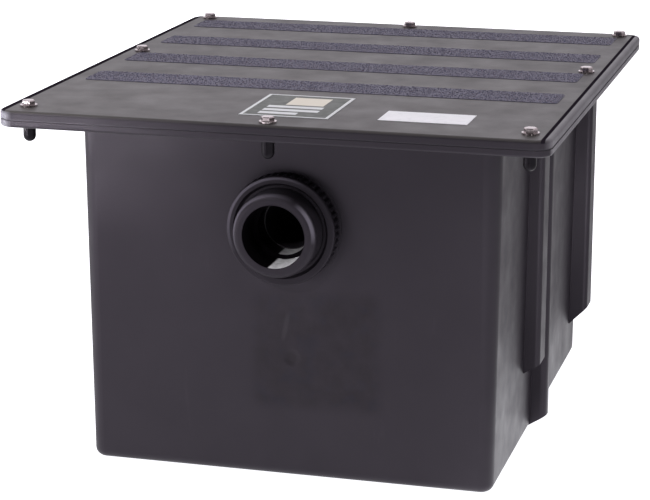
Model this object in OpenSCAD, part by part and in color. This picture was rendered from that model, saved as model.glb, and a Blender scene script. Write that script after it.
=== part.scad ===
// Grease trap: a moulded open tank with outside slot columns, a bolted lid,
// bulkhead fittings at both ends and two lift-out baffles.
// Origin: middle of the tank's underside. X runs along the inlet end, +Y to the
// outlet end, +Z up.

/* [Tank] */
// Outside width of the tank under its flange
tank_w = 412; // [360:1:480]
// Outside length of the tank under its flange
tank_l = 490; // [440:1:560]
// Height of the flange's underside above the floor
rim_z = 348; // [310:1:400]
// Thickness of the moulded walls
wall = 6; // [5:0.5:8]
// Thickness of the tank's floor
floor_t = 8; // [6:0.5:12]
// Slope of the walls, in degrees from upright
draft = 0.5; // [0:0.1:0.8]
// Outside radius of the upright corners at the flange
corner_r = 16; // [15:0.5:24]
// Outside radius of the bottom edge
base_r = 9; // [8.5:0.5:10]

/* [Flange and lid] */
// How far the lid stands out past the side walls
side_overhang = 57; // [50:1:70]
// How far the lid stands out past the inlet wall
front_overhang = 68; // [50:1:80]
// How far the lid stands out past the outlet wall
back_overhang = 34; // [32:1:70]
// Thickness of the tank's flange
flange_t = 6.5; // [5:0.5:12]
// Thickness of the lid
lid_t = 8; // [7:0.5:14]
// Plan radius of the lid's corners
lid_corner_r = 16; // [12:0.5:24]
// Radius of the lid's upper edge
lid_edge_r = 3.5; // [2:0.5:6]
// Radius of the flange's lower edge
flange_edge_r = 2.5; // [1:0.5:4]
// Thickness of the gasket under the lid
lid_gasket_t = 1.5; // [1.5:0.25:4]
// How far the gasket lies inside the lid's edge
lid_gasket_inset = 1; // [0.5:0.5:8]

/* [Slot columns] */
// How far the baffle and weir columns stand out from the side walls
column_out = 14; // [12.5:0.5:22]
// How far the rear columns stand out from the side walls
rear_column_out = 17; // [14:0.5:26]
// Outside width of a wide column
column_w = 34; // [30:1:44]
// Outside width of the narrow column
narrow_w = 18; // [17:0.5:22]
// Height at which a baffle column's sloped foot leaves the wall
column_foot_z = 76; // [60:1:110]
// Height at which a rear column's sloped foot leaves the wall
rear_foot_z = 47; // [40:1:90]
// Height at which a narrow column's sloped foot leaves the wall
narrow_foot_z = 6; // [2:0.5:14]
// Slope of the baffle and weir columns' feet, in degrees
foot_slope = 32; // [25:1:45]
// Slope of the rear columns' feet, in degrees
rear_foot_slope = 45; // [35:1:50]
// Inlet wall to the middle of the baffle columns
baffle_at = 174; // [160:1:182]
// Middle of the baffle columns to the middle of the narrow columns
weir_gap = 40; // [34:1:60]
// Outlet wall to the middle of the rear columns
rear_column_at = 31; // [30:1:60]
// Radius of a wide column's outer edges
column_edge_r = 5; // [2:0.5:5.5]
// Radius of a narrow column's nose
nose_r = 7; // [3:0.5:8]

/* [Baffles] */
// Thickness of the baffle's sheet
baffle_t = 6; // [4:0.5:10]
// Gap between the baffle's top and the lid
baffle_top_gap = 18; // [10:1:40]
// Width of the hand hole in the baffle
hand_hole_w = 100; // [80:1:140]
// Height of the hand hole
hand_hole_h = 28; // [24:1:40]
// Corner radius of the hand hole
hand_hole_r = 11; // [6:0.5:11.5]
// Top of the baffle to the middle of its hand hole
hand_hole_drop = 32; // [26:1:50]
// Thickness of the weir plate
weir_t = 5; // [3:0.5:5.5]
// Height of the weir plate above the tank's floor
weir_h = 186; // [120:1:260]

/* [Ports] */
// Height of both port axes above the floor
port_z = 252; // [235:1:262]
// Radius of the pipe socket in a fitting
socket_r = 30.25; // [24:0.25:31]
// Depth of the outer pipe socket
socket_depth = 36; // [28:1:37]
// Radius of the waterway past the pipe stop
waterway_r = 26; // [20:0.5:27]
// Outside radius of the fitting's threaded shank
shank_r = 41; // [38.5:0.5:42]
// How far the shank stands out of the wall
shank_out = 40; // [36:1:50]
// Radius of the fitting's head inside the tank
head_r = 54; // [50:0.5:58]
// Thickness of the fitting's head
head_t = 8; // [6:0.5:12]
// Length of the hub behind the head
hub_l = 24; // [20:1:36]
// Wall of the hub behind the head
hub_wall = 6; // [4:0.5:8]
// Depth of the inner pipe socket
inner_socket_depth = 26; // [18:1:28]
// Thickness of the rubber ring behind the head
ring_t = 3; // [2:0.5:5]
// Thickness of the flat pad moulded around a port
pad_t = 9; // [8.5:0.5:11]
// Radius of the edge round a shank's mouth
mouth_edge_r = 6.5; // [0.5:0.5:7.5]
// How far the pad reaches past the nut
pad_margin = 2; // [1:0.5:4]

/* [Ring nuts] */
// Outside radius of a ring nut
nut_r = 53.5; // [50:0.5:56]
// Thickness of a ring nut
nut_t = 17; // [14:1:26]
// Number of grip teeth round a ring nut
nut_teeth = 48; // [36:2:60]
// Depth of the grip teeth
tooth_h = 2; // [1:0.25:3]
// Thickness of the nut's smooth front rim
nut_rim_t = 4; // [2:0.5:6]
// Width of the nut's front rim
nut_rim_w = 7; // [3:0.5:8.5]
// Depth of the dished face inside the rim
nut_dish = 3; // [2:0.5:8]
// How far the rim's edge lies inside the tips of the teeth
nut_rim_inset = 0.5; // [0.2:0.1:1]
// Radius of the rim's front edge
nut_rim_edge_r = 1.5; // [0.5:0.25:1.75]

/* [Drop pipes] */
// Gap between a fitting's hub and the elbow's bend
bend_gap = 1; // [0.5:0.5:3]
// Radius of the elbow's bend at its middle line
bend_r = 46; // [42:1:50]
// Wall of the elbow
elbow_wall = 5; // [4:0.5:6]
// Length of the socket at the elbow's lower end
elbow_socket_l = 26; // [20:1:34]
// Wall of a drop pipe
pipe_wall = 4; // [3:0.25:5]
// Height of a drop pipe's lower end above the floor
pipe_end_z = 84; // [60:1:110]

/* [Lid bolts] */
// Radius of a bolt's shank
bolt_r = 3.25; // [3:0.25:4.25]
// Width of a bolt head across its flats
bolt_af = 11.1; // [10:0.1:13]
// Height of a bolt head
bolt_head_t = 4.2; // [3:0.1:7]
// Length of a bolt under its head
bolt_l = 30; // [28:0.5:34]
// Outside radius of a washer
washer_r = 8.25; // [7.75:0.25:11]
// Thickness of a washer
washer_t = 1.6; // [1:0.1:2.5]
// Outside radius of a rubber well nut
well_r = 6; // [5.5:0.1:8]
// How far a well nut hangs below the flange
well_drop = 18; // [16.5:0.5:24]
// Radius of a well nut's collar
well_collar_r = 9.5; // [8.5:0.25:10.5]
// Thickness of a well nut's collar
well_collar_t = 1.2; // [0.8:0.1:1.4]
// Bolt to the side edge of the lid
bolt_side = 22.5; // [17:0.5:26]
// Corner bolts to the inlet edge of the lid
bolt_front = 28; // [20:0.5:34]
// Middle bolt to the inlet edge of the lid
bolt_mid_front = 14; // [13:0.5:24]
// Rear bolts to the outlet edge of the lid
bolt_back = 17; // [15:0.5:20]
// Gap between a side bolt's washer and the second grip strip
bolt_side_gap = 3; // [1:0.5:30]

/* [Lid dressing] */
// Length of a grip strip
strip_l = 480; // [380:1:484]
// Width of a grip strip
strip_w = 48; // [30:1:56]
// Thickness of a grip strip
strip_t = 1; // [0.6:0.1:1.5]
// Inlet edge of the lid to the middle of the first strip
strip_first = 194; // [180:0.5:210]
// Outlet edge of the lid to the middle of the last strip
strip_last = 57.5; // [56:0.5:80]
// Width of the square label
label_w = 86; // [60:1:100]
// Length of the square label
label_l = 102; // [60:1:110]
// Middle of the square label, from the lid's middle line
label_x = 6; // [-20:1:10]
// Inlet edge of the lid to the near edge of the square label
label_front = 42; // [36:1:50]
// Width of the blank sticker
sticker_w = 84; // [60:1:100]
// Length of the blank sticker
sticker_l = 44; // [30:1:60]
// Middle of the blank sticker, from the lid's middle line
sticker_x = 136; // [115:1:160]
// Inlet edge of the lid to the near edge of the blank sticker
sticker_front = 50; // [40:1:60]
// Thickness of the label and the sticker
label_t = 0.4; // [0.2:0.1:0.8]

/* [Fits] */
// Gap between a baffle and its slots
slot_gap = 0.5; // [0.3:0.1:1]
// Gap between a baffle and what it stands on
seat_gap = 0.2; // [0:0.1:0.3]
// Gap round a shank in its hole
shank_gap = 0.4; // [0.3:0.1:1]
// Gap round a bolt
bolt_gap = 0.5; // [0.4:0.1:0.8]
// Gap round a well nut and its collar
well_gap = 0.3; // [0.2:0.1:0.6]
// Gap round a pipe end in its socket
pipe_gap = 0.25; // [0.15:0.05:0.4]

/* [Hidden] */
$fn = 64;

// Colours
shell_grey = "#3b393f";
tape_grey = "#4a4850";
rubber_black = "#161616";
fitting_black = "#1e1d20";
steel = "#d5d2d2";
paper_white = "#e8e8ec";
label_green = "#2f3f35";

// A small overlap that lets cuts pass right through
pass = 1;

// Shares of a tooth's pitch: where its tip starts, where its tip ends and
// where it is back at the root
tooth_rise = 0.3;
tooth_fall = 0.6;
tooth_end = 0.9;

// The lid's outline and levels
lid_w = tank_w + 2 * side_overhang;
lid_l = tank_l + front_overhang + back_overhang;
lid_y = (back_overhang - front_overhang) / 2;
lid_front_y = -tank_l / 2 - front_overhang;
lid_back_y = tank_l / 2 + back_overhang;
flange_top_z = rim_z + flange_t;
lid_under_z = flange_top_z + lid_gasket_t;
lid_top_z = lid_under_z + lid_t;

inner_corner_r = corner_r - wall;

// The mouth of the tank, inside its walls at the flange
mouth_w = tank_w - 2 * wall;
mouth_l = tank_l - 2 * wall;

// Columns along the side walls
baffle_y = -tank_l / 2 + baffle_at;
weir_y = baffle_y + weir_gap;
rear_column_y = tank_l / 2 - rear_column_at;
column_x = tank_w / 2 + column_out;
rear_column_x = tank_w / 2 + rear_column_out;
slot_x = column_x - wall;
rear_slot_x = rear_column_x - wall;
slot_w = column_w - 2 * wall;
weir_slot_w = narrow_w - 2 * wall;
// Rise of a foot's slope for each millimetre that it goes out
foot_rise = tan(foot_slope);
rear_foot_rise = tan(rear_foot_slope);
// Upright thickness of the wall along a sloped foot
foot_wall = wall / cos(foot_slope);
rear_foot_wall = wall / cos(rear_foot_slope);

// Grip strips, spread evenly from the first to the last
strip_count = 4;
strip_first_y = lid_front_y + strip_first;
strip_pitch = (lid_l - strip_first - strip_last) / (strip_count - 1);

// Bolt places, as [x, y]
bolt_x = lid_w / 2 - bolt_side;
bolt_side_y = strip_first_y + strip_pitch + strip_w / 2 + bolt_side_gap + washer_r;
bolt_rear_y = lid_back_y - bolt_back;
bolt_places = [
    [-bolt_x, lid_front_y + bolt_front], [0, lid_front_y + bolt_mid_front], [bolt_x, lid_front_y + bolt_front],
    [-bolt_x, bolt_side_y], [bolt_x, bolt_side_y],
    [-bolt_x, bolt_rear_y], [0, bolt_rear_y], [bolt_x, bolt_rear_y]
];

// Lengths along a port's axis, counted outwards from the wall's pad
ring_in = -pad_t - ring_t;
head_in = ring_in - head_t;
hub_in = head_in - hub_l;
inner_stop = hub_in + inner_socket_depth;
outer_stop = shank_out - socket_depth;
hub_r = socket_r + hub_wall;
pipe_r = socket_r - pipe_gap;
elbow_r = pipe_r + elbow_wall / 2;
elbow_hub_r = socket_r + elbow_wall;
elbow_bore_r = pipe_r - elbow_wall;
bend_in = hub_in - bend_gap;

// A length rounded to the nearest hundredth of a millimetre, so that walls
// and corners that share it meet exactly
function to_hundredth(length) = round(length * 100) / 100;

// A rectangle with round corners, about its middle
module round_rect(w, l, r) {
    square([w - 2 * r, l], center = true);
    square([w, l - 2 * r], center = true);
    for (sx = [-1, 1], sy = [-1, 1])
        translate([sx * (w / 2 - r), sy * (l / 2 - r)])
            circle(r);
}

// Puts a quarter-turn corner piece at each corner of a rectangle
module at_corners(half_w, half_l) {
    for (corner = [[1, 1, 0], [-1, 1, 90], [-1, -1, 180], [1, -1, 270]])
        translate([corner[0] * half_w, corner[1] * half_l, 0])
            rotate([0, 0, corner[2]])
                children();
}

// Half outline of a drafted wall: straight to `reach`, then `top_r` wide at
// height `top` and rounded by `foot_r` where it meets the bottom
module wall_outline(reach, top_r, top, foot_r) {
    foot_x = reach + to_hundredth(top_r - (top - foot_r) * tan(draft) - foot_r);
    polygon([[0, 0], [foot_x, 0], [foot_x, foot_r], [foot_x + foot_r, foot_r], [reach + top_r, top], [0, top]]);
    translate([foot_x, foot_r])
        intersection() {
            circle(foot_r);
            translate([0, -foot_r])
                square(foot_r);
        }
}

// A drafted box with round corners and a round bottom edge
module drafted_box(w, l, r, top, foot_r) {
    reach_x = w / 2 - r;
    reach_y = l / 2 - r;
    for (side = [0, 180]) {
        rotate([0, 0, side])
            translate([0, reach_y, 0])
                rotate([90, 0, 0])
                    linear_extrude(2 * reach_y)
                        wall_outline(reach_x, r, top, foot_r);
        rotate([0, 0, side + 90])
            translate([0, reach_x, 0])
                rotate([90, 0, 0])
                    linear_extrude(2 * reach_x)
                        wall_outline(reach_y, r, top, foot_r);
    }
    at_corners(reach_x, reach_y)
        rotate_extrude(angle = 90)
            wall_outline(0, r, top, foot_r);
}

// Half outline of a plate's edge, rounded by `edge_r` at its upper corner
module edge_outline(reach, t, edge_r) {
    square([reach - edge_r, t]);
    square([reach, t - edge_r]);
    translate([reach - edge_r, t - edge_r])
        intersection() {
            circle(edge_r);
            square(edge_r);
        }
}

// A flat plate with round plan corners and a rounded upper edge
module edged_plate(w, l, t, r, edge_r) {
    for (side = [0, 180]) {
        rotate([0, 0, side])
            translate([0, l / 2 - r, 0])
                rotate([90, 0, 0])
                    linear_extrude(l - 2 * r)
                        edge_outline(w / 2, t, edge_r);
        rotate([0, 0, side + 90])
            translate([0, w / 2 - r, 0])
                rotate([90, 0, 0])
                    linear_extrude(w - 2 * r)
                        edge_outline(l / 2, t, edge_r);
    }
    at_corners(w / 2 - r, l / 2 - r)
        rotate_extrude(angle = 90)
            edge_outline(r, t, edge_r);
}

// A prism across both side walls, from an outline of its right half in X and Z
module across(y, depth) {
    for (side = [0, 1])
        mirror([side, 0, 0])
            translate([0, y + depth / 2, 0])
                rotate([90, 0, 0])
                    linear_extrude(depth)
                        children();
}

// Upright outline of a column: out to `out_x`, with a sloped foot that
// crosses the wall's line under the flange at `foot_z`
module column_outline(out_x, foot_z, rise, top) {
    inner_z = foot_z - rise * tank_w / 2;
    polygon([[0, inner_z], [out_x, inner_z + rise * out_x], [out_x, top], [0, top]]);
}

// One pair of outside columns
module column_pair(y, w, out_x, edge_r, foot_z, rise) {
    intersection() {
        across(y, w)
            column_outline(out_x, foot_z, rise, rim_z);
        translate([0, y, 0])
            linear_extrude(rim_z)
                round_rect(2 * out_x, w, edge_r);
    }
}

// The slot inside one pair of columns
module slot_pair(y, w, out_x, foot_z, rise) {
    intersection() {
        across(y, w)
            column_outline(out_x, foot_z, rise, flange_top_z + pass);
        translate([0, 0, floor_t])
            linear_extrude(flange_top_z)
                square([2 * out_x, tank_l], center = true);
    }
}

// Turns an upright piece to stand out of the inlet wall (-1) or outlet wall (1)
module at_port(end) {
    translate([0, end * tank_l / 2, port_z])
        rotate([-90 * end, 0, 0])
            children();
}

module at_bolts() {
    for (place = bolt_places)
        translate([place[0], place[1], 0])
            children();
}

module tank() {
    color(shell_grey)
        difference() {
            union() {
                difference() {
                    tank_block();
                    tank_cavity();
                }
                for (end = [-1, 1])
                    at_port(end)
                        translate([0, 0, -pad_t])
                            cylinder(r = nut_r + pad_margin, h = pad_t);
            }
            at_bolts()
                translate([0, 0, rim_z - pass])
                    cylinder(r = well_r + well_gap, h = flange_t + 2 * pass);
            for (end = [-1, 1])
                at_port(end)
                    translate([0, 0, -pad_t - pass])
                        cylinder(r = shank_r + shank_gap, h = pad_t + 2 * pass);
        }
}

// The tank's outside, still filled
module tank_block() {
    drafted_box(tank_w, tank_l, corner_r, rim_z, base_r);
    column_pair(baffle_y, column_w, column_x, column_edge_r, column_foot_z, foot_rise);
    column_pair(weir_y, narrow_w, column_x, nose_r, narrow_foot_z, foot_rise);
    column_pair(rear_column_y, column_w, rear_column_x, column_edge_r, rear_foot_z, rear_foot_rise);
    translate([0, lid_y, flange_top_z])
        mirror([0, 0, 1])
            edged_plate(lid_w, lid_l, flange_t, lid_corner_r, flange_edge_r);
}

// The hollow of the tank, up through its flange, and the slots in its columns
module tank_cavity() {
    mouth_z = flange_top_z + pass;
    flare = to_hundredth((mouth_z - rim_z) * tan(draft));
    translate([0, 0, floor_t])
        drafted_box(mouth_w + 2 * flare, mouth_l + 2 * flare, inner_corner_r + flare, mouth_z - floor_t,
                    base_r - wall);
    slot_pair(baffle_y, slot_w, slot_x, column_foot_z + foot_wall, foot_rise);
    slot_pair(weir_y, weir_slot_w, slot_x, narrow_foot_z + foot_wall, foot_rise);
    slot_pair(rear_column_y, slot_w, rear_slot_x, rear_foot_z + rear_foot_wall, rear_foot_rise);
}

module lid() {
    color(shell_grey)
        difference() {
            translate([0, lid_y, lid_under_z])
                edged_plate(lid_w, lid_l, lid_t, lid_corner_r, lid_edge_r);
            at_bolts()
                translate([0, 0, lid_under_z - pass])
                    cylinder(r = bolt_r + bolt_gap, h = lid_t + 2 * pass);
        }
}

module lid_gasket() {
    color(rubber_black)
        difference() {
            translate([0, lid_y, flange_top_z])
                linear_extrude(lid_gasket_t)
                    round_rect(lid_w - 2 * lid_gasket_inset, lid_l - 2 * lid_gasket_inset,
                               lid_corner_r - lid_gasket_inset);
            translate([0, 0, flange_top_z - pass])
                linear_extrude(lid_gasket_t + 2 * pass)
                    round_rect(2 * rear_column_x, mouth_l, inner_corner_r);
            at_bolts()
                translate([0, 0, flange_top_z - pass])
                    cylinder(r = well_collar_r + well_gap, h = lid_gasket_t + 2 * pass);
        }
}

module lid_bolts() {
    color(steel)
        at_bolts()
            translate([0, 0, lid_top_z + washer_t]) {
                cylinder(d = bolt_af / cos(30), h = bolt_head_t, $fn = 6);
                translate([0, 0, -bolt_l])
                    cylinder(r = bolt_r, h = bolt_l);
            }
}

module lid_washers() {
    color(steel)
        at_bolts()
            translate([0, 0, lid_top_z])
                difference() {
                    cylinder(r = washer_r, h = washer_t);
                    translate([0, 0, -pass])
                        cylinder(r = bolt_r + bolt_gap, h = washer_t + 2 * pass);
                }
}

// Half outline of a well nut, its collar's underside at height 0
module well_outline() {
    well_end = -flange_t - well_drop;
    square([well_collar_r, well_collar_t]);
    translate([0, well_end + well_r])
        square([well_r, -well_end - well_r]);
    translate([0, well_end + well_r])
        intersection() {
            circle(well_r);
            translate([0, -well_r])
                square([well_r, well_r]);
        }
}

module well_nuts() {
    bolt_room = lid_top_z + washer_t - bolt_l - bolt_gap;
    color(rubber_black)
        at_bolts()
            difference() {
                translate([0, 0, flange_top_z])
                    rotate_extrude()
                        well_outline();
                translate([0, 0, bolt_room])
                    cylinder(r = bolt_r + bolt_gap, h = lid_top_z - bolt_room);
            }
}

module grip_strip(count) {
    color(tape_grey)
        translate([0, strip_first_y + count * strip_pitch, lid_top_z])
            linear_extrude(strip_t)
                square([strip_l, strip_w], center = true);
}

module square_label() {
    color(label_green)
        translate([label_x, lid_front_y + label_front + label_l / 2, lid_top_z])
            linear_extrude(label_t)
                square([label_w, label_l], center = true);
}

module blank_sticker() {
    color(paper_white)
        translate([sticker_x, lid_front_y + sticker_front + sticker_l / 2, lid_top_z])
            linear_extrude(label_t)
                square([sticker_w, sticker_l], center = true);
}

// Half outline of a fitting before it is bored
module fitting_outline() {
    translate([0, hub_in])
        square([hub_r, hub_l]);
    translate([0, head_in])
        square([head_r, head_t]);
    translate([0, ring_in])
        edge_outline(shank_r, shank_out - ring_in, mouth_edge_r);
}

// Bulkhead fitting: threaded shank outside, head and hub inside, a pipe
// socket at each end and a stop between them
module fitting() {
    color(fitting_black)
        difference() {
            rotate_extrude()
                fitting_outline();
            translate([0, 0, hub_in - pass])
                cylinder(r = waterway_r, h = shank_out - hub_in + 2 * pass);
            translate([0, 0, outer_stop])
                cylinder(r = socket_r, h = socket_depth + pass);
            translate([0, 0, hub_in - pass])
                cylinder(r = socket_r, h = inner_socket_depth + pass);
        }
}

// Outline of the toothed ring, four corners to a tooth
module tooth_ring() {
    pitch = 360 / nut_teeth;
    root_r = nut_r - tooth_h;
    tooth = [[0, root_r], [tooth_rise, nut_r], [tooth_fall, nut_r], [tooth_end, root_r]];
    polygon([for (i = [0 : nut_teeth - 1], corner = tooth)
        let (turn = (i + corner[0]) * pitch)
            [corner[1] * cos(turn), corner[1] * sin(turn)]]);
}

module ring_nut() {
    bore_r = shank_r + shank_gap;
    dish_r = nut_r - nut_rim_w;
    color(fitting_black)
        difference() {
            union() {
                linear_extrude(nut_t - nut_rim_t)
                    tooth_ring();
                translate([0, 0, nut_t - nut_rim_t])
                    rotate_extrude()
                        edge_outline(nut_r - nut_rim_inset, nut_rim_t, nut_rim_edge_r);
            }
            translate([0, 0, -pass])
                cylinder(r = bore_r, h = nut_t + 2 * pass);
            translate([0, 0, nut_t - nut_dish])
                cylinder(r1 = (bore_r + dish_r) / 2, r2 = dish_r, h = nut_dish);
        }
}

module ring_seal() {
    color(rubber_black)
        translate([0, 0, ring_in])
            difference() {
                cylinder(r = head_r, h = ring_t);
                translate([0, 0, -pass])
                    cylinder(r = shank_r + shank_gap, h = ring_t + 2 * pass);
            }
}

// Elbow: a spigot in the fitting's hub, a quarter bend and a socket that
// looks down. `end` is -1 at the inlet and 1 at the outlet.
module elbow(end) {
    bend_y = end * (tank_l / 2 + bend_in);
    down_y = bend_y - end * bend_r;
    socket_top = port_z - bend_r;
    color(fitting_black)
        difference() {
            union() {
                at_port(end)
                    translate([0, 0, bend_in])
                        cylinder(r = pipe_r, h = inner_stop - bend_in);
                quarter_bend(end, bend_y, elbow_r);
                translate([0, down_y, socket_top - elbow_socket_l])
                    cylinder(r = elbow_hub_r, h = elbow_socket_l);
            }
            at_port(end)
                translate([0, 0, bend_in])
                    cylinder(r = elbow_bore_r, h = inner_stop - bend_in + pass);
            quarter_bend(end, bend_y, elbow_bore_r);
            translate([0, down_y, socket_top - elbow_socket_l - pass])
                cylinder(r = elbow_bore_r, h = elbow_socket_l + pass);
            translate([0, down_y, socket_top - elbow_socket_l - pass])
                cylinder(r = socket_r, h = elbow_socket_l - elbow_wall + pass);
        }
}

// A quarter turn of round bar from the port's axis down to the drop pipe
module quarter_bend(end, bend_y, r) {
    translate([0, bend_y, port_z - bend_r])
        rotate([0, -90, 0])
            rotate_extrude(angle = -90 * end)
                translate([bend_r, 0])
                    circle(r);
}

module drop_pipe(end) {
    down_y = end * (tank_l / 2 + bend_in - bend_r);
    pipe_top = port_z - bend_r - elbow_wall - pipe_gap;
    color(fitting_black)
        translate([0, down_y, pipe_end_z])
            difference() {
                cylinder(r = pipe_r, h = pipe_top - pipe_end_z);
                translate([0, 0, -pass])
                    cylinder(r = pipe_r - pipe_wall, h = pipe_top - pipe_end_z + 2 * pass);
            }
}

// Height of a sheet's lower outer corner, just above the slope of a slot whose
// column's foot leaves the wall at `foot_z`
function sheet_corner_z(foot_z) = foot_z + foot_wall + (column_out - wall - slot_gap) * foot_rise + seat_gap;

// Right half of a slotted sheet: `half_w` wide above its foot, with sloped
// lower corners that follow the slot's slope
module sheet_outline(half_w, low_z, corner_z, top) {
    low_w = half_w - (corner_z - low_z) / foot_rise;
    polygon([[0, low_z], [low_w, low_z], [half_w, corner_z], [half_w, top], [0, top]]);
}

module baffle() {
    half_w = slot_x - slot_gap;
    corner_z = sheet_corner_z(column_foot_z);
    low_z = corner_z - column_out * foot_rise;
    top = lid_under_z - baffle_top_gap;
    bar_w = slot_w - 2 * slot_gap;
    bar_in = column_out + wall;
    hand_z = top - hand_hole_drop;
    color(shell_grey)
        difference() {
            union() {
                across(baffle_y, baffle_t)
                    sheet_outline(half_w, low_z, corner_z, top);
                intersection() {
                    across(baffle_y, bar_w)
                        sheet_outline(half_w, low_z, corner_z, top);
                    for (side = [-1, 1])
                        translate([side * (half_w - bar_in / 2), baffle_y, low_z])
                            linear_extrude(top - low_z)
                                square([bar_in, bar_w], center = true);
                }
            }
            translate([0, baffle_y + bar_w / 2, hand_z])
                rotate([90, 0, 0])
                    linear_extrude(bar_w)
                        round_rect(hand_hole_w, hand_hole_h, hand_hole_r);
        }
}

module weir_plate() {
    half_w = slot_x - slot_gap;
    color(shell_grey)
        across(weir_y, weir_t)
            sheet_outline(half_w, floor_t + seat_gap, sheet_corner_z(narrow_foot_z), floor_t + weir_h);
}

tank();
lid();
lid_gasket();
lid_bolts();
lid_washers();
well_nuts();
grip_strip(0);  // grip_strip_1
grip_strip(1);  // grip_strip_2
grip_strip(2);  // grip_strip_3
grip_strip(3);  // grip_strip_4
square_label();
blank_sticker();
at_port(-1) fitting();  // inlet_fitting
at_port(-1) ring_nut();  // inlet_ring_nut
at_port(-1) ring_seal();  // inlet_ring_seal
elbow(-1);  // inlet_elbow
drop_pipe(-1);  // inlet_drop_pipe
at_port(1) fitting();  // outlet_fitting
at_port(1) ring_nut();  // outlet_ring_nut
at_port(1) ring_seal();  // outlet_ring_seal
elbow(1);  // outlet_elbow
drop_pipe(1);  // outlet_drop_pipe
baffle();
weir_plate();
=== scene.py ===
"""Looks of a moulded grease trap.

A satin shell, gritty strips, bright lid bolts and black pipe fittings.
"""

import math

import bmesh
import bpy
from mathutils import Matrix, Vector


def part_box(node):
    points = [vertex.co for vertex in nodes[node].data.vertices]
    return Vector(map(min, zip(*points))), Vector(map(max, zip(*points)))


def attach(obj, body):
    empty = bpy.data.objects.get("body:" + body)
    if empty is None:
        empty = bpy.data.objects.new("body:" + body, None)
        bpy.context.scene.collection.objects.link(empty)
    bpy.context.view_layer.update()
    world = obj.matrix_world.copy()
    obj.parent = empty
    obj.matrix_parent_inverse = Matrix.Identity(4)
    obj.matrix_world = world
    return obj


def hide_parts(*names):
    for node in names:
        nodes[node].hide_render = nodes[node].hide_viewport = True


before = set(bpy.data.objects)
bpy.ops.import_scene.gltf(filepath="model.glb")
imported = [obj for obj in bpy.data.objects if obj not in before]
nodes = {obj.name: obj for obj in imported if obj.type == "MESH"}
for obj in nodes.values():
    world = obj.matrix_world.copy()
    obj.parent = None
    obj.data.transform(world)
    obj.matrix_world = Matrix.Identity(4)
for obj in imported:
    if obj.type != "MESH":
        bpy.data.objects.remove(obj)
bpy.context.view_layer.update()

MM = 0.001
LID_BODY = "lid_body"
ENDS = ("inlet", "outlet")

# Places on the object, read from the frame
fitting_low, fitting_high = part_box("inlet_fitting")
port_z = (fitting_low.z + fitting_high.z) / 2
lid_low, lid_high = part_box("lid")


# Node helpers, for materials and Geometry Nodes

def feed(tree, socket, value):
    """Links a socket to another socket, or sets it to a plain value."""
    if isinstance(value, bpy.types.NodeSocket):
        tree.links.new(value, socket)
    else:
        socket.default_value = value


def add_node(tree, kind, inputs, **settings):
    """A node with its settings made and its inputs set or linked."""
    node = tree.nodes.new(kind)
    for setting, value in settings.items():
        setattr(node, setting, value)
    for key, value in inputs.items():
        feed(tree, node.inputs[key], value)
    return node


def calc(tree, operation, first, second=0.0):
    """One step of arithmetic."""
    inputs = {0: first, 1: second}
    return add_node(tree, "ShaderNodeMath", inputs, operation=operation).outputs["Value"]


def split(tree, vector):
    """The three parts of a vector."""
    parts = add_node(tree, "ShaderNodeSeparateXYZ", {"Vector": vector})
    return parts.outputs["X"], parts.outputs["Y"], parts.outputs["Z"]


# Helpers for materials

def new_material(name):
    """A material with an empty node tree but for its Principled shader, and that shader."""
    material = bpy.data.materials.new(name)
    material.use_nodes = True
    tree = material.node_tree
    tree.nodes.clear()
    shader = tree.nodes.new("ShaderNodeBsdfPrincipled")
    add_node(tree, "ShaderNodeOutputMaterial", {"Surface": shader.outputs["BSDF"]})
    return material, tree, shader


def object_place(tree, middle=(0, 0, 0), stretch=(1, 1, 1)):
    """Object coordinates, counted from `middle` and then stretched."""
    coordinates = tree.nodes.new("ShaderNodeTexCoord").outputs["Object"]
    inputs = {"Location": middle, "Scale": stretch, "Vector": coordinates}
    return add_node(tree, "ShaderNodeMapping", inputs, vector_type="TEXTURE").outputs["Vector"]


def facing(tree):
    """The three parts of the direction that the surface faces."""
    return split(tree, tree.nodes.new("ShaderNodeNewGeometry").outputs["Normal"])


def noise(tree, place, size, detail=3.0, roughness=0.55):
    """Soft noise from 0 to 1 with features about `size` metres across."""
    inputs = {"Scale": 1 / size, "Detail": detail, "Roughness": roughness, "Vector": place}
    return add_node(tree, "ShaderNodeTexNoise", inputs).outputs["Fac"]


def cells(tree, place, size):
    """A colour for each grain of a field of grains about `size` metres across."""
    inputs = {"Scale": 1 / size, "Vector": place}
    return add_node(tree, "ShaderNodeTexVoronoi", inputs).outputs["Color"]


def spread(tree, value, low, high, to_low=0.0, to_high=1.0, kind="LINEAR"):
    """`value` from low..high brought to to_low..to_high, and held there outside."""
    inputs = {"Value": value, "From Min": low, "From Max": high,
              "To Min": to_low, "To Max": to_high}
    ranged = add_node(tree, "ShaderNodeMapRange", inputs, interpolation_type=kind)
    return ranged.outputs["Result"]


def colour(value):
    """A colour with its alpha, or a socket left as it is."""
    if isinstance(value, bpy.types.NodeSocket):
        return value
    return (*value, 1.0)


def mix(tree, share, first, second):
    """Two colours mixed by a share of the second."""
    inputs = {"Factor": share, "A": colour(first), "B": colour(second)}
    mixer = add_node(tree, "ShaderNodeMix", inputs, data_type="RGBA")
    return next(socket for socket in mixer.outputs if socket.type == "RGBA")


def bump(tree, shader, height, depth, strength=1.0):
    """Adds a relief `depth` metres deep to the shader's normal."""
    inputs = {"Strength": strength, "Distance": depth, "Height": height}
    relief = add_node(tree, "ShaderNodeBump", inputs)
    under = shader.inputs["Normal"].links
    if under:
        tree.links.new(under[0].from_socket, relief.inputs["Normal"])
    tree.links.new(relief.outputs["Normal"], shader.inputs["Normal"])


def band(tree, value, middle, half, soft):
    """1 within `half` of `middle`, falling to 0 over `soft`."""
    away = calc(tree, "ABSOLUTE", calc(tree, "SUBTRACT", value, middle))
    return spread(tree, away, half, half + soft, 1.0, 0.0, "SMOOTHSTEP")


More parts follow.
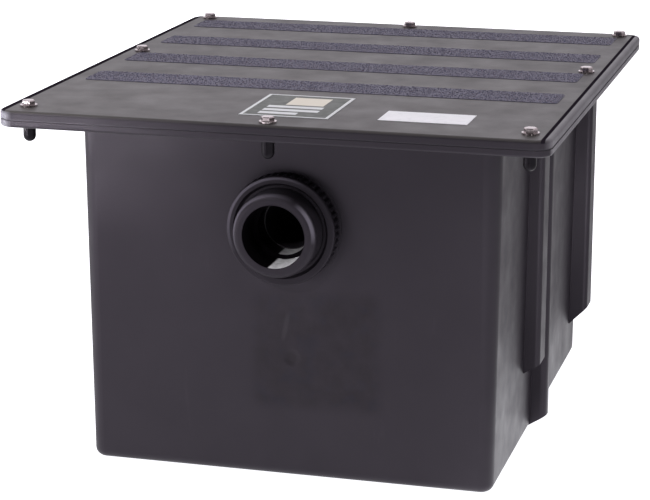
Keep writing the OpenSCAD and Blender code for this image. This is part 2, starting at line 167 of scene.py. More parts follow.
def both(tree, first, second):
    """The overlap of two masks, or a share of one mask."""
    return calc(tree, "MULTIPLY", first, second)


def block(tree, across, along, middle, half, soft):
    """1 within a rectangle, falling to 0 over `soft`; the pairs are across and along."""
    return both(tree, band(tree, across, middle[0], half[0], soft[0]),
                band(tree, along, middle[1], half[1], soft[1]))


def length_of(tree, first, second):
    """The length of a vector with two parts."""
    squares = calc(tree, "ADD", both(tree, first, first), both(tree, second, second))
    return calc(tree, "SQRT", squares)


# What the finishes share

NOISE_LOW = 0.3
NOISE_HIGH = 0.7
GLOSS_TINT = (0.95, 0.86, 1.0, 1.0)


def set_tint(tree, shader, tint):
    """Links the shader's colour."""
    feed(tree, shader.inputs["Base Color"], tint)


def tint_so_far(shader):
    """The colour that is linked to the shader now."""
    return shader.inputs["Base Color"].links[0].from_socket


def set_gloss(tree, shader, level):
    """How strongly the plastics and rubbers mirror, in the violet tone they share."""
    feed(tree, shader.inputs["Specular IOR Level"], level)
    shader.inputs["Specular Tint"].default_value = GLOSS_TINT


def roughen(tree, shader, cloud, smooth, matt):
    """Roughness that follows a noise from smooth to matt."""
    roughness = spread(tree, cloud, NOISE_LOW, NOISE_HIGH, smooth, matt)
    feed(tree, shader.inputs["Roughness"], roughness)


# Shell: tank, lid and the sheets inside

SHELL_DARK = (0.0130, 0.0110, 0.0142)
SHELL_PALE = (0.0200, 0.0172, 0.0215)
SHELL_CLOUD_SIZE = 90 * MM
SHELL_DUST = (0.072, 0.064, 0.077)
SHELL_DUST_CLOUDS = (0.45, 0.7)
SHELL_DUST_MOST = 0.35
SHELL_STREAK_SIZE = 14 * MM
SHELL_STREAK_STRETCH = (1, 1, 9)
SHELL_STREAK_SCUFFS = (0.62, 0.78)
SHELL_GLOSS = 0.27
SHELL_MATT_SIZE = 35 * MM
SHELL_WAVE_SIZE = 130 * MM
SHELL_WAVE_DEPTH = 0.6 * MM
SHELL_GRAIN_SIZE = 1.6 * MM


def shell_plastic(name, smooth, matt, grain_depth):
    """Charcoal moulded plastic: cloudy, with orange-peel grain, slow waves and a little dust."""
    material, tree, shader = new_material(name)
    place = object_place(tree)
    clouds = noise(tree, place, SHELL_CLOUD_SIZE)
    charcoal = mix(tree, clouds, SHELL_DARK, SHELL_PALE)
    upright = object_place(tree, stretch=SHELL_STREAK_STRETCH)
    streaks = noise(tree, upright, SHELL_STREAK_SIZE, detail=5.0, roughness=0.7)
    scuffs = spread(tree, streaks, *SHELL_STREAK_SCUFFS)
    dusty = both(tree, scuffs, spread(tree, clouds, *SHELL_DUST_CLOUDS, 0.0, SHELL_DUST_MOST))
    set_tint(tree, shader, mix(tree, dusty, charcoal, SHELL_DUST))
    roughen(tree, shader, noise(tree, place, SHELL_MATT_SIZE, detail=4.0), smooth, matt)
    set_gloss(tree, shader, SHELL_GLOSS)
    bump(tree, shader, noise(tree, place, SHELL_WAVE_SIZE, detail=1.0), SHELL_WAVE_DEPTH)
    bump(tree, shader, noise(tree, place, SHELL_GRAIN_SIZE, detail=2.0), grain_depth)
    return material, tree, shader


# Painted highlight: a pale outer skin on the flange's and the lid's sides
SIDE_EDGE_W = 1.5 * MM
SIDE_EDGE_FULL = 0.45 * MM
SIDE_EDGE_HIGHLIGHT = (0.150, 0.142, 0.156)
SIDE_EDGE_HIGHLIGHT_SHARE = 0.8
# Painted highlight: the rim's near left corner coloured paler
CORNER_W = 16 * MM
CORNER_FULL = 8 * MM
CORNER_HIGHLIGHT = (0.235, 0.232, 0.262)
CORNER_HIGHLIGHT_SHARE = 0.75


def side_edge_highlight(tree, x):
    """The outermost skin of the flange's and lid's sides, where a pale highlight is painted."""
    out = calc(tree, "ABSOLUTE", x)
    return spread(tree, out, lid_high.x - SIDE_EDGE_W, lid_high.x - SIDE_EDGE_FULL)


def corner_highlight(tree, x, y):
    """The rim's near left corner, painted paler than the rest as a highlight."""
    from_side, from_end = (
        spread(tree, value, start + CORNER_FULL, start + CORNER_W, 1.0, 0.0)
        for value, start in ((x, lid_low.x), (y, lid_low.y)))
    return both(tree, both(tree, from_side, from_end), CORNER_HIGHLIGHT_SHARE)


TANK_ROUGH = (0.36, 0.5)
TANK_GRAIN_DEPTH = 0.05 * MM
INLET_WALL_Y = (-0.236, -0.238)

# Marks on the inlet wall; places and sizes are along x and z
PATCH_MIDDLE = (0.030, 0.130)
PATCH_HALF = (0.054, 0.050)
PATCH_SOFT = (16 * MM, 16 * MM)
PATCH_DARK = (0.0095, 0.0078, 0.0090)
PATCH_BLUE = (0.0075, 0.0078, 0.0125)
PATCH_BLUE_SIZE = 16 * MM
PATCH_BLUE_RANGE = (0.5, 0.62)
PATCH_BLUE_MOST = 0.8
PATCH_BLOTCH_SIZE = 15 * MM
PATCH_BLOTCH_RANGE = (0.28, 0.72)
PATCH_SHARE = (0.3, 0.8)
PATCH_GLOSS = 0.238
DIMPLE_MIDDLE = (0.006, 0.122)
DIMPLE_R = 10 * MM
DIMPLE_FLAT_R = 3 * MM
DIMPLE_SHARE = 0.85
DIMPLE_DEPTH = 1.2 * MM
DIMPLE_STRENGTH = 0.6
SCRATCH_MIDDLE = (-0.0005, 0.153)
SCRATCH_HALF = (0.6 * MM, 8 * MM)
SCRATCH_SOFT = (3 * MM, 10 * MM)
SCRATCH_LEAN = 0.2
SCRATCH_PALE = (0.06, 0.058, 0.062)
SCRATCH_SHARE = 0.18


def tank_plastic():
    """The tank's shell, with the blotched patch, dimple and scratch on its inlet wall, and
    painted highlights on the flange's sides and near left corner.
    """
    material, tree, shader = shell_plastic("tank_plastic", *TANK_ROUGH, TANK_GRAIN_DEPTH)
    place = object_place(tree)
    x, y, z = split(tree, place)
    on_inlet_wall = spread(tree, y, *INLET_WALL_Y)

    patch = both(tree, on_inlet_wall, block(tree, x, z, PATCH_MIDDLE, PATCH_HALF, PATCH_SOFT))
    blotches = spread(tree, noise(tree, place, PATCH_BLOTCH_SIZE), *PATCH_BLOTCH_RANGE)
    worn = both(tree, patch, spread(tree, blotches, 0, 1, *PATCH_SHARE))
    blue_noise = noise(tree, place, PATCH_BLUE_SIZE, detail=2.0)
    blue = spread(tree, blue_noise, *PATCH_BLUE_RANGE, 0.0, PATCH_BLUE_MOST)
    marked = mix(tree, worn, tint_so_far(shader), mix(tree, blue, PATCH_DARK, PATCH_BLUE))
    set_gloss(tree, shader, spread(tree, worn, 0, 1, SHELL_GLOSS, PATCH_GLOSS))

    away = length_of(tree, calc(tree, "SUBTRACT", x, DIMPLE_MIDDLE[0]),
                     calc(tree, "SUBTRACT", z, DIMPLE_MIDDLE[1]))
    hollow = spread(tree, away, DIMPLE_FLAT_R, DIMPLE_R, 1.0, 0.0, "SMOOTHSTEP")
    dimple = both(tree, on_inlet_wall, hollow)
    marked = mix(tree, both(tree, dimple, DIMPLE_SHARE), marked, PATCH_DARK)

    lean = both(tree, calc(tree, "SUBTRACT", z, SCRATCH_MIDDLE[1]), SCRATCH_LEAN)
    leaning_x = calc(tree, "SUBTRACT", x, lean)
    scratch = block(tree, leaning_x, z, SCRATCH_MIDDLE, SCRATCH_HALF, SCRATCH_SOFT)
    scratch = both(tree, on_inlet_wall, both(tree, scratch, SCRATCH_SHARE))
    marked = mix(tree, scratch, marked, SCRATCH_PALE)

    # Painted highlight on the flange's sides
    marked = mix(tree, both(tree, side_edge_highlight(tree, x), SIDE_EDGE_HIGHLIGHT_SHARE), marked, SIDE_EDGE_HIGHLIGHT)
    # Painted highlight on the flange's near left corner
    marked = mix(tree, corner_highlight(tree, x, y), marked, CORNER_HIGHLIGHT)
    set_tint(tree, shader, marked)
    bump(tree, shader, calc(tree, "SUBTRACT", 1.0, dimple), DIMPLE_DEPTH, DIMPLE_STRENGTH)
    return material


LID_ROUGH = (0.4, 0.52)
LID_GRAIN_DEPTH = 0.08 * MM
# Painted shade: dark lines on the lid's rounded left edge and inside its right lip, standing in
# for the dark these edges mirror
LID_EDGE_SHADE = (0.018, 0.014, 0.020)
LID_EDGE_W = 8 * MM
LID_EDGE_SOFT = 1 * MM
LID_EDGE_FACING = (0.1, 0.25)
LID_EDGE_ROUGH = 0.85
LID_LINE_IN = 7 * MM
LID_LINE_HALF = 1.4 * MM
LID_LINE_SOFT = 0.7 * MM
# Painted light: the lid's upward faces are paler, a little less so toward the back
LID_TOP_LIGHT = (0.088, 0.082, 0.072)
LID_TOP_FACING = (0.3, 0.7)
LID_TOP_Y = (-0.05, 0.28)
LID_TOP_LIGHT_SHARE = (0.5, 0.4)
LID_END_FACING = (0.3, 0.8)
LID_CORNER_FACING = (0.5, 0.8)


def lid_plastic():
    """The lid's shell: painted light on a paler top, painted shade on the left edge and on a line
    inside the right lip, and painted highlights on that lip and the near left corner.
    """
    material, tree, shader = shell_plastic("lid_plastic", *LID_ROUGH, LID_GRAIN_DEPTH)
    x, y, _ = split(tree, object_place(tree))
    _, facing_y, facing_z = facing(tree)
    # Painted light on the upward faces, less toward the back
    top_light_share = spread(tree, y, *LID_TOP_Y, *LID_TOP_LIGHT_SHARE)
    lit_top = both(tree, spread(tree, facing_z, *LID_TOP_FACING), top_light_share)
    coat = mix(tree, lit_top, tint_so_far(shader), LID_TOP_LIGHT)

    # Painted highlight: a pale lip along the lid's right side, inside the dark line, and the
    # sides' outer skin
    line_x = lid_high.x - LID_LINE_IN
    right_lip = spread(tree, x, line_x, line_x + LID_LINE_HALF)
    not_end = spread(tree, calc(tree, "ABSOLUTE", facing_y), *LID_END_FACING, 1.0, 0.0)
    lip_highlight = calc(tree, "MAXIMUM", side_edge_highlight(tree, x), both(tree, right_lip, not_end))
    coat = mix(tree, both(tree, lip_highlight, SIDE_EDGE_HIGHLIGHT_SHARE), coat, SIDE_EDGE_HIGHLIGHT)

    # Painted shade on the left edge and on a line inside the right lip, with no shine there
    edge_x = LID_EDGE_W - lid_high.x
    left_edge_shade = spread(tree, x, edge_x, edge_x + LID_EDGE_SOFT, 1.0, 0.0)
    right_shade_line = band(tree, x, line_x, LID_LINE_HALF, LID_LINE_SOFT)
    dark = calc(tree, "MAXIMUM", left_edge_shade, right_shade_line)
    dark = both(tree, dark, spread(tree, facing_z, *LID_EDGE_FACING))
    coat = mix(tree, dark, coat, LID_EDGE_SHADE)

    # Painted highlight on the sides of the lid's near left corner
    not_top = spread(tree, facing_z, *LID_CORNER_FACING, 1.0, 0.0)
    corner = both(tree, corner_highlight(tree, x, y), not_top)
    set_tint(tree, shader, mix(tree, corner, coat, CORNER_HIGHLIGHT))
    set_gloss(tree, shader, spread(tree, dark, 0, 1, SHELL_GLOSS, 0.0))
    roughness = shader.inputs["Roughness"].links[0].from_socket
    feed(tree, shader.inputs["Roughness"], spread(tree, dark, 0, 1, roughness, LID_EDGE_ROUGH))
    return material


BAFFLE_ROUGH = (0.42, 0.55)
BAFFLE_GRAIN_DEPTH = 0.06 * MM


def baffle_plastic():
    """The lift-out sheets inside the tank."""
    return shell_plastic("baffle_plastic", *BAFFLE_ROUGH, BAFFLE_GRAIN_DEPTH)[0]


# Fittings, ring nuts and pipes

FITTING_DARK = (0.012, 0.0102, 0.0132)
FITTING_PALE = (0.018, 0.0155, 0.0196)
FITTING_CLOUD_SIZE = 25 * MM
FITTING_GLOSS = 0.15
FITTING_ROUGH = (0.32, 0.46)
FITTING_RING_SIZE = 1.2 * MM
FITTING_RING_STRETCH = (40, 1, 40)
FITTING_RING_DEPTH = 0.03 * MM
FITTING_GRAIN_SIZE = 2.2 * MM
FITTING_GRAIN_DEPTH = 0.05 * MM
# Painted shade: the bore coloured near black and with little shine
BORE_SHADE = (0.0022, 0.0018, 0.0024)
BORE_SHADE_GLOSS = 0.03
BORE_R = 30.4 * MM
BORE_SOFT = 0.6 * MM

# Painted highlights on the rims: radius, half width and softness of each, then where on the round
# they lie
RIM_HIGHLIGHT = (0.125, 0.114, 0.140)
HIGHLIGHT_MOUTH = (39.5 * MM, 0.5 * MM, 1.5 * MM)
HIGHLIGHT_NUT = (51 * MM, 0.7 * MM, 1 * MM)
HIGHLIGHT_UPPER_LEFT = (0.4, 1.35)
HIGHLIGHT_UPPER_LEFT_SHARE = 0.75
HIGHLIGHT_RIGHT = (38.4 * MM, 0.8 * MM, 1.4 * MM)
HIGHLIGHT_RIGHT_AIM = (0.906, 0.423)
HIGHLIGHT_RIGHT_RANGE = (0.84, 0.99)
HIGHLIGHT_RIGHT_SHARE = 0.9


def from_port_axis(tree, x, z):
    """Height above the port's axis, and distance from it."""
    up = calc(tree, "SUBTRACT", z, port_z)
    return up, length_of(tree, x, up)


def rim_highlights(tree, x, z):
    """The rims of the fitting's mouth and the ring nut, with painted highlights at the upper left
    and the right.
    """
    up, out = from_port_axis(tree, x, z)
    aslant = calc(tree, "DIVIDE", calc(tree, "SUBTRACT", up, x), out)
    rims = calc(tree, "MAXIMUM", band(tree, out, *HIGHLIGHT_MOUTH), band(tree, out, *HIGHLIGHT_NUT))
    to_left = spread(tree, aslant, *HIGHLIGHT_UPPER_LEFT, 0.0, HIGHLIGHT_UPPER_LEFT_SHARE)
    aimed = calc(tree, "ADD", both(tree, x, HIGHLIGHT_RIGHT_AIM[0]),
                 both(tree, up, HIGHLIGHT_RIGHT_AIM[1]))
    to_right = spread(tree, calc(tree, "DIVIDE", aimed, out), *HIGHLIGHT_RIGHT_RANGE,
                      0.0, HIGHLIGHT_RIGHT_SHARE)
    right = both(tree, to_right, band(tree, out, *HIGHLIGHT_RIGHT))
    return calc(tree, "MAXIMUM", both(tree, rims, to_left), right)


def fitting_plastic(name):
    """Black moulded plastic with turned marks round the port's axis, painted highlights on the
    rims, and a bore painted darker as shade.
    """
    material, tree, shader = new_material(name)
    place = object_place(tree)
    x, _, z = split(tree, place)
    black = mix(tree, noise(tree, place, FITTING_CLOUD_SIZE), FITTING_DARK, FITTING_PALE)
    # Painted highlights on the rims
    highlighted = mix(tree, rim_highlights(tree, x, z), black, RIM_HIGHLIGHT)
    out = from_port_axis(tree, x, z)[1]
    # Painted shade inside the bore
    in_bore = spread(tree, out, BORE_R, BORE_R + BORE_SOFT, 1.0, 0.0)
    set_tint(tree, shader, mix(tree, in_bore, highlighted, BORE_SHADE))
    turned = object_place(tree, stretch=FITTING_RING_STRETCH)
    rings = noise(tree, turned, FITTING_RING_SIZE, detail=2.0)
    roughen(tree, shader, rings, *FITTING_ROUGH)
    set_gloss(tree, shader, spread(tree, in_bore, 0, 1, FITTING_GLOSS, BORE_SHADE_GLOSS))
    bump(tree, shader, rings, FITTING_RING_DEPTH)
    bump(tree, shader, noise(tree, place, FITTING_GRAIN_SIZE, detail=2.0), FITTING_GRAIN_DEPTH)
    return material, tree, shader


# Painted pool of light: a speckled pale patch on the bottom of the inlet bore, fainter deeper in
LIT_PATCH = (0.74, 0.73, 0.76)
LIT_PATCH_DROP = 19.5 * MM
LIT_PATCH_LEFT = -6 * MM
LIT_PATCH_SOFT = 1.5 * MM
LIT_PATCH_FACING = (0.5, 0.6)
LIT_PATCH_THIN_Y = -0.252
LIT_PATCH_THIN_SOFT = 4 * MM
LIT_PATCH_THIN_SHARE = 0.55
LIT_PATCH_SPECKLE_SIZE = 4 * MM
LIT_PATCH_SPECKLE_RANGE = (0.25, 0.6)
LIT_PATCH_SPECKLE_SHARE = (0.6, 1.0)


def inlet_fitting_plastic():
    """The inlet fitting's plastic, with a pool of light painted pale along the bottom of its
    bore.
    """
    material, tree, shader = fitting_plastic("inlet_fitting_plastic")
    place = object_place(tree)
    x, y, z = split(tree, place)
    drop = calc(tree, "SUBTRACT", port_z, z)
    low_down = spread(tree, drop, LIT_PATCH_DROP, LIT_PATCH_DROP + LIT_PATCH_SOFT)
    right_of = spread(tree, x, LIT_PATCH_LEFT, LIT_PATCH_LEFT + LIT_PATCH_SOFT)
    upward = spread(tree, facing(tree)[2], *LIT_PATCH_FACING)
    patch = both(tree, both(tree, low_down, right_of), upward)
    thin_end = LIT_PATCH_THIN_Y + LIT_PATCH_THIN_SOFT
    thin = spread(tree, y, LIT_PATCH_THIN_Y, thin_end, 1.0, LIT_PATCH_THIN_SHARE)
    speckle = spread(tree, noise(tree, place, LIT_PATCH_SPECKLE_SIZE, detail=4.0),
                     *LIT_PATCH_SPECKLE_RANGE, *LIT_PATCH_SPECKLE_SHARE)
    # Painted pool of light on the bore's floor
    pooled_light = both(tree, both(tree, patch, thin), speckle)
    set_tint(tree, shader, mix(tree, pooled_light, tint_so_far(shader), LIT_PATCH))
    return material


PIPE_CLOUD_SIZE = 30 * MM
PIPE_LINE_SIZE = 1.5 * MM
PIPE_LINE_STRETCH = (1, 1, 60)
PIPE_LINE_DEPTH = 0.04 * MM
PIPE_ROUGH = (0.3, 0.45)


def pipe_plastic():
    """Elbows and drop pipes: black plastic with faint lines along the pipe."""
    material, tree, shader = new_material("pipe_plastic")
    clouds = noise(tree, object_place(tree), PIPE_CLOUD_SIZE)
    set_tint(tree, shader, mix(tree, clouds, FITTING_DARK, FITTING_PALE))
    drawn = noise(tree, object_place(tree, stretch=PIPE_LINE_STRETCH), PIPE_LINE_SIZE)
    roughen(tree, shader, drawn, *PIPE_ROUGH)
    bump(tree, shader, drawn, PIPE_LINE_DEPTH)
    return material


# Rubber and steel

RUBBER_DARK = (0.0030, 0.0026, 0.0034)
RUBBER_PALE = (0.0065, 0.0056, 0.0072)
GASKET_DARK = (0.046, 0.042, 0.049)
GASKET_PALE = (0.080, 0.074, 0.085)
RUBBER_SKIN_SIZE = 1.1 * MM
RUBBER_SKIN_DEPTH = 0.04 * MM
RUBBER_BLOOM_SIZE = 12 * MM
RUBBER_ROUGH = (0.24, 0.36)
RUBBER_GLOSS = 0.1


def soft_rubber(name, dark, pale):
    """Rubber with a fine matt skin."""
    material, tree, shader = new_material(name)
    place = object_place(tree)
    skin = noise(tree, place, RUBBER_SKIN_SIZE)
    set_tint(tree, shader, mix(tree, skin, dark, pale))
    roughen(tree, shader, noise(tree, place, RUBBER_BLOOM_SIZE), *RUBBER_ROUGH)
    set_gloss(tree, shader, RUBBER_GLOSS)
    bump(tree, shader, skin, RUBBER_SKIN_DEPTH)
    return material


STEEL_BRIGHT = (0.50, 0.44, 0.445)
STEEL_DULL = (0.34, 0.295, 0.30)
STEEL_PATCH_SIZE = 6 * MM
STEEL_BRUSH_SIZE = 0.5 * MM
STEEL_BRUSH_STRETCH = (1, 1, 14)
STEEL_BRUSH_DEPTH = 0.015 * MM
STEEL_ROUGH = (0.16, 0.34)


def bright_steel():
    """Stainless steel with a fine turned brush and slightly duller patches."""
    material, tree, shader = new_material("bright_steel")
    patches = noise(tree, object_place(tree), STEEL_PATCH_SIZE)
    set_tint(tree, shader, mix(tree, patches, STEEL_BRIGHT, STEEL_DULL))
    shader.inputs["Metallic"].default_value = 1.0
    turned = object_place(tree, stretch=STEEL_BRUSH_STRETCH)
    brushed = noise(tree, turned, STEEL_BRUSH_SIZE, detail=2.0)
    roughen(tree, shader, brushed, *STEEL_ROUGH)
    bump(tree, shader, brushed, STEEL_BRUSH_DEPTH)
    return material


# Strips, label and sticker

TAPE_DARK = (0.092, 0.085, 0.126)
TAPE_PALE = (0.122, 0.112, 0.172)
TAPE_CLOUD_SIZE = 18 * MM
TAPE_PIT_SIZE = 0.9 * MM
TAPE_PIT_DEPTH = 0.2 * MM
TAPE_ROUGH = (0.55, 0.8)


def tape_film():
    """The grip strips' backing, seen between the grains."""
    material, tree, shader = new_material("tape_film")
    place = object_place(tree)
    set_tint(tree, shader, mix(tree, noise(tree, place, TAPE_CLOUD_SIZE), TAPE_DARK, TAPE_PALE))
    pitted = noise(tree, place, TAPE_PIT_SIZE, detail=2.0)
    roughen(tree, shader, pitted, *TAPE_ROUGH)
    bump(tree, shader, pitted, TAPE_PIT_DEPTH)
    return material


GRIT_DARK = (0.100, 0.092, 0.140)
GRIT_MID = (0.146, 0.135, 0.205)
GRIT_BLUE = (0.05, 0.06, 0.16)
GRIT_RED = (0.13, 0.05, 0.07)
GRIT_PALE = (0.235, 0.222, 0.305)
GRIT_MID_RANGE = (0.25, 0.9)
GRIT_BLUE_RANGE = (0.86, 0.9)
GRIT_BLUE_SHARE = 0.8
GRIT_RED_RANGE = (0.10, 0.06)
GRIT_RED_SHARE = 0.7
GRIT_PALE_RANGE = (0.91, 0.94)
GRIT_CELL_SIZE = 1.8 * MM
GRIT_ROUGH = (0.65, 0.4)
GRIT_CHIP_SIZE = 0.5 * MM
GRIT_CHIP_DEPTH = 0.05 * MM


def grit_mineral():
    """Mineral grains: mostly dark violet-grey, some blue, red or pale ones."""
    material, tree, shader = new_material("grit_mineral")
    place = object_place(tree)
    first, second, third = split(tree, cells(tree, place, GRIT_CELL_SIZE))
    tone = mix(tree, spread(tree, first, *GRIT_MID_RANGE), GRIT_DARK, GRIT_MID)
    blue = spread(tree, second, *GRIT_BLUE_RANGE, 0.0, GRIT_BLUE_SHARE)
    tone = mix(tree, blue, tone, GRIT_BLUE)
    red = spread(tree, second, *GRIT_RED_RANGE, 0.0, GRIT_RED_SHARE)
    tone = mix(tree, red, tone, GRIT_RED)
    tone = mix(tree, spread(tree, third, *GRIT_PALE_RANGE), tone, GRIT_PALE)
    set_tint(tree, shader, tone)
    feed(tree, shader.inputs["Roughness"], spread(tree, third, 0, 1, *GRIT_ROUGH))
    bump(tree, shader, noise(tree, place, GRIT_CHIP_SIZE), GRIT_CHIP_DEPTH)
    return material


LABEL_GREEN = (0.012, 0.022, 0.012)
LABEL_GREEN_PALE = (0.022, 0.034, 0.021)
LABEL_CREAM = (0.78, 0.72, 0.60)
LABEL_WHITE = (0.72, 0.74, 0.75)
LABEL_INK_SIZE = 9 * MM
LABEL_ROUGH = (0.3, 0.42)
LABEL_GLOSS = 0.12
LABEL_WRINKLE_SIZE = 22 * MM
LABEL_WRINKLE_DEPTH = 0.15 * MM

# The print, in shares of the label's half width and half length
LABEL_FRAME_IN = (0.925, 0.94)
LABEL_SOFT = (0.02, 0.02)
LABEL_PANEL = ((0.12, 0.42), (0.42, 0.34))
LABEL_BARS = (((-0.02, -0.12), (0.62, 0.085)),
              ((-0.02, -0.42), (0.62, 0.085)),
              ((-0.22, -0.70), (0.42, 0.085)))


def label_print():
    """A plain printed label: green field, pale frame, a cream panel and three pale bars."""
    material, tree, shader = new_material("label_print")
    low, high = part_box("square_label")
    half = (high - low) / 2
    on_label = object_place(tree, middle=(low + high) / 2, stretch=(half.x, half.y, 1))
    u, v, _ = split(tree, on_label)
    place = object_place(tree)
    ink = noise(tree, place, LABEL_INK_SIZE, detail=4.0)
    printed = mix(tree, ink, LABEL_GREEN, LABEL_GREEN_PALE)
    side, end = (calc(tree, "GREATER_THAN", calc(tree, "ABSOLUTE", value), limit)
                 for value, limit in zip((u, v), LABEL_FRAME_IN))
    printed = mix(tree, calc(tree, "MAXIMUM", side, end), printed, LABEL_WHITE)
    printed = mix(tree, block(tree, u, v, *LABEL_PANEL, LABEL_SOFT), printed, LABEL_CREAM)
    for bar in LABEL_BARS:
        printed = mix(tree, block(tree, u, v, *bar, LABEL_SOFT), printed, LABEL_WHITE)
    set_tint(tree, shader, printed)
    roughen(tree, shader, ink, *LABEL_ROUGH)
    shader.inputs["Specular IOR Level"].default_value = LABEL_GLOSS
    bump(tree, shader, noise(tree, place, LABEL_WRINKLE_SIZE), LABEL_WRINKLE_DEPTH)
    return material


STICKER_WHITE = (0.94, 0.94, 0.97)
STICKER_GREY = (0.66, 0.66, 0.70)
STICKER_SMUDGE_SIZE = 7 * MM
STICKER_SMUDGE_RANGE = (0.5, 0.75)
STICKER_SMUDGE_MOST = 0.35
STICKER_MATT_SIZE = 15 * MM
STICKER_ROUGH = (0.4, 0.55)
STICKER_WRINKLE_SIZE = 18 * MM
STICKER_WRINKLE_DEPTH = 0.12 * MM


def sticker_film():
    """A blank white sticker with faint smudges."""
    material, tree, shader = new_material("sticker_film")
    place = object_place(tree)
    smudge = spread(tree, noise(tree, place, STICKER_SMUDGE_SIZE, detail=4.0),
                    *STICKER_SMUDGE_RANGE, 0.0, STICKER_SMUDGE_MOST)
    set_tint(tree, shader, mix(tree, smudge, STICKER_WHITE, STICKER_GREY))
    roughen(tree, shader, noise(tree, place, STICKER_MATT_SIZE), *STICKER_ROUGH)
    bump(tree, shader, noise(tree, place, STICKER_WRINKLE_SIZE), STICKER_WRINKLE_DEPTH)
    return material


# Helpers for shapes

SOCKET_KINDS = {bpy.types.Material: "NodeSocketMaterial", bpy.types.Object: "NodeSocketObject",
                float: "NodeSocketFloat", int: "NodeSocketInt"}


def start_tree(name, inputs):
    """A Geometry Nodes tree with a geometry input, the named inputs and a geometry output."""
    tree = bpy.data.node_groups.new(name, "GeometryNodeTree")
    new_socket = tree.interface.new_socket
    new_socket("Geometry", in_out="INPUT", socket_type="NodeSocketGeometry")
    for label, value in inputs.items():
        new_socket(label, in_out="INPUT", socket_type=SOCKET_KINDS[type(value)])
    new_socket("Geometry", in_out="OUTPUT", socket_type="NodeSocketGeometry")
    given = tree.nodes.new("NodeGroupInput").outputs
    return tree, given, tree.nodes.new("NodeGroupOutput").inputs


def grow(piece, tree, inputs):
    """Runs a tree on a piece and keeps the result as the piece's plain mesh."""
    modifier = piece.modifiers.new(tree.name, "NODES")
    modifier.node_group = tree
    for item in tree.interface.items_tree:
        if item.in_out == "INPUT" and item.name in inputs:
            modifier[item.identifier] = inputs[item.name]
    depsgraph = bpy.context.evaluated_depsgraph_get()
    mesh = bpy.data.meshes.new_from_object(piece.evaluated_get(depsgraph))
    piece.modifiers.remove(modifier)
    piece.data = mesh
    return piece


def add_object(name, data):
    """Links a mesh, lamp or camera into the scene as an object at the origin."""
    thing = bpy.data.objects.new(name, data)
    bpy.context.scene.collection.objects.link(thing)
    return thing


def finished_mesh(name, shape):
    """A mesh made of a shape in the making, which is then let go."""
    mesh = bpy.data.meshes.new(name)
    shape.to_mesh(mesh)
    shape.free()
    return mesh


def solid_middles(node, reach):
    """The middle of each solid in a node, from vertices within `reach` of its first, in plan."""
    groups = []
    for vertex in nodes[node].data.vertices:
        spot = vertex.co.xy
        for group in groups:
            if (group[0] - spot).length < reach:
                group.append(spot.copy())
                break
        else:
            groups.append([spot.copy()])
    middles = []
    for group in groups:
        xs = [spot.x for spot in group]
        ys = [spot.y for spot in group]
        middles.append(Vector(((min(xs) + max(xs)) / 2, (min(ys) + max(ys)) / 2)))
    return middles


def turned_mesh(name, outline, sides, smooth_above=24):
    """A closed solid turned about Z from (radius, height) corners, with both ends on the axis."""
    shape = bmesh.new()
    rings = []
    for radius, height in outline:
        if radius == 0:
            rings.append([shape.verts.new((0, 0, height))])
            continue
        ring = []
        for i in range(sides):
            turn = 2 * math.pi * i / sides
            place = (radius * math.cos(turn), radius * math.sin(turn), height)
            ring.append(shape.verts.new(place))
        rings.append(ring)
    for lower, upper in zip(rings, rings[1:]):
        for i in range(sides):
            j = (i + 1) % sides
            corners = [lower[i % len(lower)], lower[j % len(lower)],
                       upper[j % len(upper)], upper[i % len(upper)]]
            face = shape.faces.new(list(dict.fromkeys(corners)))
            face.smooth = sides >= smooth_above
    bmesh.ops.recalc_face_normals(shape, faces=shape.faces)
    return finished_mesh(name, shape)


# Lid bolts

BOLT_REACH = 25 * MM
HEX_SIDES = 6
HEAD_BEVEL = 0.9 * MM
HEAD_TOP_SHARE = 0.86
SHANK_SIDES = 24
SHANK_TIP_H = 1 * MM
SHANK_TIP_SHARE = 0.8
THREAD_PITCH = 1.4 * MM
THREAD_DEPTH = 0.45 * MM
THREAD_START = 2 * MM
THREAD_SHORTER = 3 * MM
THREAD_STEPS = 16
THREAD_CORNERS = 4


def bolt_sizes():
    """The bolts' middles, seat height, head radius and height, and shank radius and length."""
    middles = solid_middles("lid_bolts", BOLT_REACH)
    low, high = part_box("lid_bolts")
    seat_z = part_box("lid_washers")[1].z
    first = middles[0]
    corners = [vertex.co for vertex in nodes["lid_bolts"].data.vertices]
    near = [co for co in corners if (co.xy - first).length < BOLT_REACH]
    head_r = max((co.xy - first).length for co in near)
    shank_r = max((co.xy - first).length for co in near if co.z < low.z + SHANK_TIP_H)
    return middles, seat_z, head_r, high.z - seat_z, shank_r, seat_z - low.z


